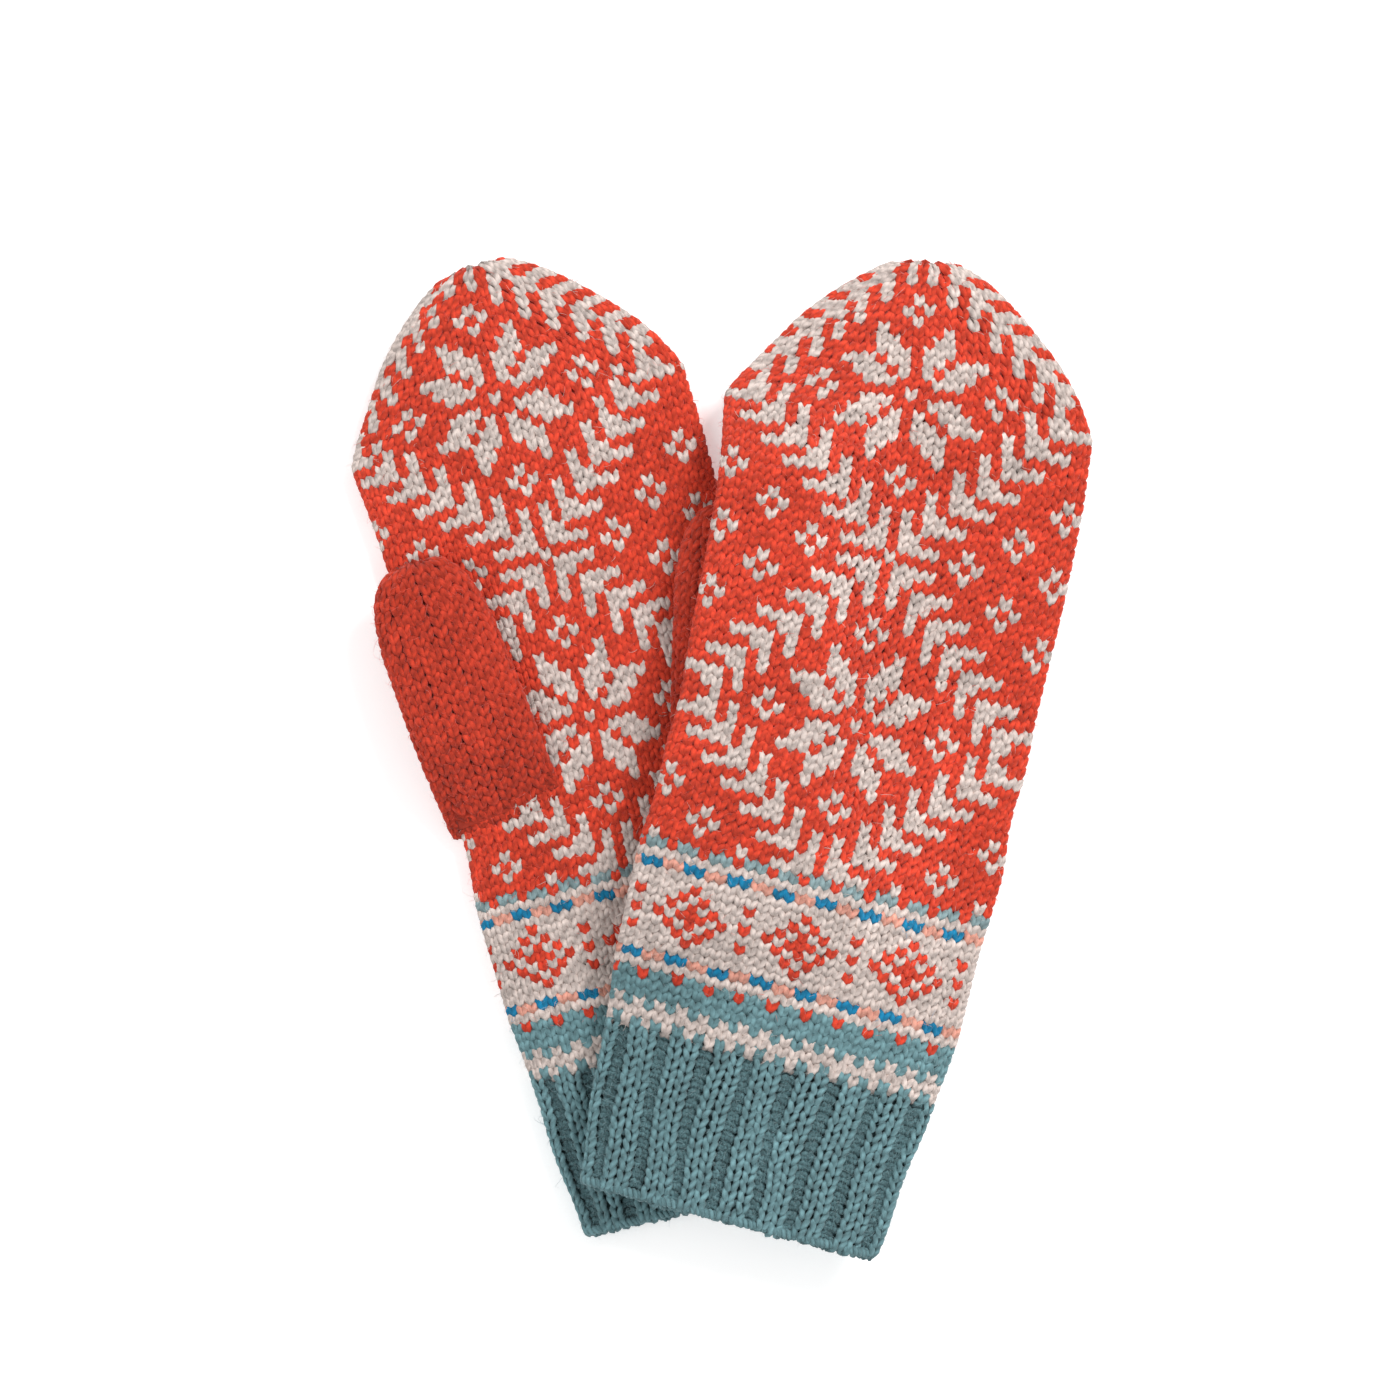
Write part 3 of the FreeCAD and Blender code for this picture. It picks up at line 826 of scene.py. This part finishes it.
YARNS = {
    "orange": ((0.66, 0.048, 0.017), "orange_yarn"),
    "pale": ((0.63, 0.53, 0.485), "pale_yarn"),
    "teal": ((0.145, 0.275, 0.30), "teal_yarn"),
    "grey": ((0.24, 0.34, 0.355), "teal_yarn"),
    "blue": ((0.0, 0.19, 0.37), "blue_yarn"),
    "pink": ((0.72, 0.33, 0.25), "pink_yarn"),
}
PLY_PITCH = 2.6             # millimetres of yarn in one turn of its two plies
PLY_HEIGHT = 0.35           # height of the plies against that of the fibres on them
FIBRE_STRETCH = (1.1, 16.0)     # the fibres' pattern along and round the yarn
PLY_GROOVE_SHADE = (0.55, 0.72)       # painted shade between the plies and fibres: how much their relief darkens the colour, and the least of it
MOTTLE_SHARE = 0.72         # fine and wide unevenness of the colour make it up together
WASH_SHARE = 0.28
DARK_YARN = 0.70            # the darkest and lightest of the yarn's colour, against its own
LIGHT_YARN = 1.14
LIGHT_LIFT = 0.012
MOTTLE_ENDS = (0.30, 0.70)  # where the noise is darkest and lightest
SHEEN_COLOUR = 0.55         # how much of the yarn's colour its bloom has; the rest is white
STRAY_LIGHT = 1.15          # a stray fibre's colour against its yarn's
STRAY_LIFT = 0.03
STRANDS_DARK = 0.55         # the strands behind the stitches get little light
WOOL = {"Roughness": 0.92, "Specular IOR Level": 0.18, "Sheen Weight": 0.28, "Sheen Roughness": 0.55}
MOTTLE = {"Scale": 420.0, "Detail": 4.0, "Roughness": 0.7}
WASH = {"Scale": 28.0, "Detail": 2.0}
YARN_FIBRES = {"Scale": 1.0, "Detail": 3.0}
STRAND_FIBRES = {"Scale": 900.0, "Detail": 3.0}
WOOL_BUMP = {"Strength": 0.8, "Distance": 0.0003}


def set_inputs(node, values):
    """Sets a node's sockets by their names."""
    for socket, value in values.items():
        node.inputs[socket].default_value = value
    return node


def new_material(name, values):
    """A material with the values on its shader's own sockets, and the shader."""
    material = bpy.data.materials.new(name)
    material.use_nodes = True
    return material, set_inputs(material.node_tree.nodes["Principled BSDF"], values)


def noise(tree, vector, values):
    """A noise texture over a vector."""
    node = set_inputs(tree.nodes.new("ShaderNodeTexNoise"), values)
    tree.links.new(vector, node.inputs["Vector"])
    return node.outputs["Fac"]


def math_node(tree, operation, *values):
    """A sum, a product or a sine of sockets and numbers."""
    node = tree.nodes.new("ShaderNodeMath")
    node.operation = operation
    for socket, value in zip(node.inputs, values):
        if isinstance(value, float):
            socket.default_value = value
        else:
            tree.links.new(value, socket)
    return node.outputs[0]


def mottled_colour(tree, place, colour):
    """The yarn's colour, uneven from fibre to fibre and from one part of the mitten to another."""
    ramp = tree.nodes.new("ShaderNodeValToRGB")
    dark, light = ramp.color_ramp.elements
    dark.position = MOTTLE_ENDS[0]
    dark.color = tuple(c * DARK_YARN for c in colour) + (1.0,)
    light.position = MOTTLE_ENDS[1]
    light.color = tuple(min(1.0, c * LIGHT_YARN + LIGHT_LIFT) for c in colour) + (1.0,)
    fine = math_node(tree, "MULTIPLY", noise(tree, place, MOTTLE), MOTTLE_SHARE)
    faint = math_node(tree, "MULTIPLY", noise(tree, place, WASH), WASH_SHARE)
    tree.links.new(math_node(tree, "ADD", fine, faint), ramp.inputs["Fac"])
    return ramp.outputs["Color"]


def ply_height(tree):
    """The relief of two twisted plies and the fibres along them, from the yarn's own coordinates."""
    uv = tree.nodes.new("ShaderNodeUVMap")
    uv.uv_map = "yarn"
    split = tree.nodes.new("ShaderNodeSeparateXYZ")
    tree.links.new(uv.outputs["UV"], split.inputs[0])
    length, share = split.outputs["X"], split.outputs["Y"]
    along = math_node(tree, "MULTIPLY", length, 2.0 * math.pi / PLY_PITCH)
    around = math_node(tree, "MULTIPLY", share, 4.0 * math.pi)
    ply = math_node(tree, "SINE", math_node(tree, "ADD", along, around))
    stretch = tree.nodes.new("ShaderNodeCombineXYZ")
    for socket, source, scale in zip(stretch.inputs, (length, share), FIBRE_STRETCH):
        tree.links.new(math_node(tree, "MULTIPLY", source, scale), socket)
    fibres = noise(tree, stretch.outputs[0], YARN_FIBRES)
    return math_node(tree, "ADD", math_node(tree, "MULTIPLY", ply, PLY_HEIGHT), fibres)


def streaked_and_groove_shaded(tree, colour, height):
    """The colour with painted shade between the plies and fibres, times the shade attribute: the stitches'
    random unevenness with painted shade where the yarn dips behind its neighbours.
    """
    shade = tree.nodes.new("ShaderNodeAttribute")
    shade.attribute_name = "shade"
    groove_shade = math_node(tree, "ADD", math_node(tree, "MULTIPLY", height, PLY_GROOVE_SHADE[0]), PLY_GROOVE_SHADE[1])
    shaded = tree.nodes.new("ShaderNodeVectorMath")
    shaded.operation = "SCALE"
    tree.links.new(colour, shaded.inputs[0])
    tree.links.new(math_node(tree, "MULTIPLY", shade.outputs["Fac"], groove_shade), shaded.inputs["Scale"])
    return shaded.outputs[0]


def wool(name, colour, plied=True):
    """Soft wool with a pale bloom; plied wool also has the twist of its plies and fibres along it."""
    material, shader = new_material(name, WOOL)
    tree = material.node_tree
    bloom = tuple(1.0 - SHEEN_COLOUR + SHEEN_COLOUR * c for c in colour) + (1.0,)
    shader.inputs["Sheen Tint"].default_value = bloom
    place = tree.nodes.new("ShaderNodeTexCoord").outputs["Object"]
    tint = mottled_colour(tree, place, colour)
    if plied:
        height = ply_height(tree)
        # the colour gets painted shade in the grooves of the plies and where the yarn dips
        tint = streaked_and_groove_shaded(tree, tint, height)
    else:
        height = noise(tree, place, STRAND_FIBRES)
    tree.links.new(tint, shader.inputs["Base Color"])
    bump = set_inputs(tree.nodes.new("ShaderNodeBump"), WOOL_BUMP)
    tree.links.new(height, bump.inputs["Height"])
    tree.links.new(bump.outputs["Normal"], shader.inputs["Normal"])
    return material


def stray(name, colour):
    """Stray fibres let some light through, so they are a little paler than their yarn."""
    paler = tuple(min(1.0, STRAY_LIGHT * c + STRAY_LIFT) for c in colour) + (1.0,)
    return new_material(name, {"Base Color": paler, "Roughness": 0.8, "Sheen Weight": 0.3})[0]


MATERIALS = {name: wool("wool_" + name, colour) for name, (colour, _) in YARNS.items()}
BACKINGS = {name: wool("strands_" + name, tuple(STRANDS_DARK * c for c in YARNS[name][0]), plied=False)
            for name in ("orange", "teal")}
FIBRES = {name: stray("fibres_" + name, colour) for name, (colour, _) in YARNS.items()}


def finish_piece(piece, material, node):
    """A piece's look, and the section of the CAD that it takes the place of."""
    piece.data.materials.append(material)
    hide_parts(node)


# -------------------- the two mittens


def knitted(side, bins, surface, rng, painted_shade=1.0):
    """The sections in bins as pieces of yarn, each with its stray fibres."""
    pieces = []
    for part, gather in bins.items():
        for yarn, items in gather.items.items():
            name = "%s_%s_%s" % (side, part, yarn)
            piece = lay_stitches(name, surface, items, rng, painted_shade, ribbed=part == "rib_cuff")
            finish_piece(piece, MATERIALS[yarn], "%s_%s" % (side, part))
            hairs = fuzz(piece.name + "_fuzz", surface, items, rng, int(len(items) * FIBRES_PER_STITCH))
            hairs.data.materials.append(FIBRES[yarn])
            pieces += [piece, hairs]
    return pieces


def strands(name, surface, start, end, depth, yarn):
    """A dark layer inside the stitches with its look: carried strands, or painted shade where none are
    carried.
    """
    piece = backing(name, surface, start, end, depth)
    piece.data.materials.append(BACKINGS[yarn])
    return piece


for mitten in (LEFT, RIGHT):
    side = mitten["name"]
    body = side + "_mitten"
    rng = np.random.default_rng(SEED + (side == "right"))
    hand = hand_surface(mitten)
    thumb = thumb_surface(mitten)
    hand_bins = {}
    rib_stitches(hand_bins)
    knit_rows(mitten, hand, hand_bins)
    fold_chain(mitten, hand, hand_bins["fingertip"])
    thumb_bins = {}
    thumb_stitches(thumb, thumb_bins)
    hand_pieces = knitted(side, hand_bins, hand, rng)
    edge = cast_on_edge(side + "_cast_on_edge_yarn", hand)
    finish_piece(edge, MATERIALS["teal"], side + "_cast_on_edge")
    hand_pieces.append(edge)
    for part, low, high, depth, yarn in HAND_STRANDS:
        hand_pieces.append(strands("%s_%s" % (side, part), hand, low, high, depth, yarn))
    for piece in hand_pieces:
        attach(piece, body)
    # The thumbs' yarn is painted darker: painted shade for the light that falls less on them
    thumb_pieces = knitted(side, thumb_bins, thumb, rng, THUMB_PAINTED_SHADE)
    # The thumb is plain one-colour knitting and carries no strands: its dark layer is painted shade for the
    # shaded inside
    thumb_shade_layer = strands(side + "_thumb_shade_layer", thumb, 0.0, THUMB_SHADE_LAYER_END, HAND_BACKING, "orange")
    thumb_pieces.append(thumb_shade_layer)
    for piece in thumb_pieces:
        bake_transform(piece)

# -------------------- stage, light and camera

FLOOR = 3.0                 # half width of the floor, in metres
floor_corners = [(FLOOR * x, FLOOR * y, 0.0) for x, y in ((-1, -1), (1, -1), (1, 1), (-1, 1))]
floor_mesh = bpy.data.meshes.new("floor")
floor_mesh.from_pydata(floor_corners, [], [(0, 1, 2, 3)])
floor = bpy.data.objects.new("floor", floor_mesh)
bpy.context.scene.collection.objects.link(floor)
WHITE = (1.0, 1.0, 1.0, 1.0)
PAPER = {"Base Color": (0.92, 0.92, 0.92, 1.0), "Roughness": 0.9, "Emission Color": WHITE,
         "Emission Strength": 0.35}
floor_mesh.materials.append(new_material("paper", PAPER)[0])

world = bpy.data.worlds.new("studio")
bpy.context.scene.world = world
world.use_nodes = True
set_inputs(world.node_tree.nodes["Background"], {"Color": WHITE, "Strength": 0.62})


def softbox(name, place, size, power):
    """A square studio light that faces the frame's origin."""
    light = bpy.data.lights.new(name, "AREA")
    light.shape = "SQUARE"
    light.size = size
    light.energy = power
    lamp = bpy.data.objects.new(name, light)
    bpy.context.scene.collection.objects.link(lamp)
    lamp.location = place
    lamp.rotation_euler = (-lamp.location).to_track_quat("-Z", "Y").to_euler()


softbox("key", place=(0.75, 0.85, 1.0), size=0.5, power=16.0)
softbox("fill", place=(-0.9, -0.3, 1.2), size=0.9, power=5.0)

VIEW_WIDTH = 0.3748         # width of the camera's view at the mittens, in metres
VIEW_MIDDLE = (-0.0063, 0.0151)
camera_data = bpy.data.cameras.new("camera")
camera_data.lens = 100.0
camera_data.sensor_width = 36.0
camera = bpy.data.objects.new("camera", camera_data)
bpy.context.scene.collection.objects.link(camera)
distance = VIEW_WIDTH / camera_data.sensor_width * camera_data.lens
camera.location = (VIEW_MIDDLE[0], VIEW_MIDDLE[1], distance + HAND_THICK * MM)
camera.rotation_euler = (0.0, 0.0, 0.0)
bpy.context.scene.camera = camera
bpy.context.scene.view_settings.view_transform = "Standard"
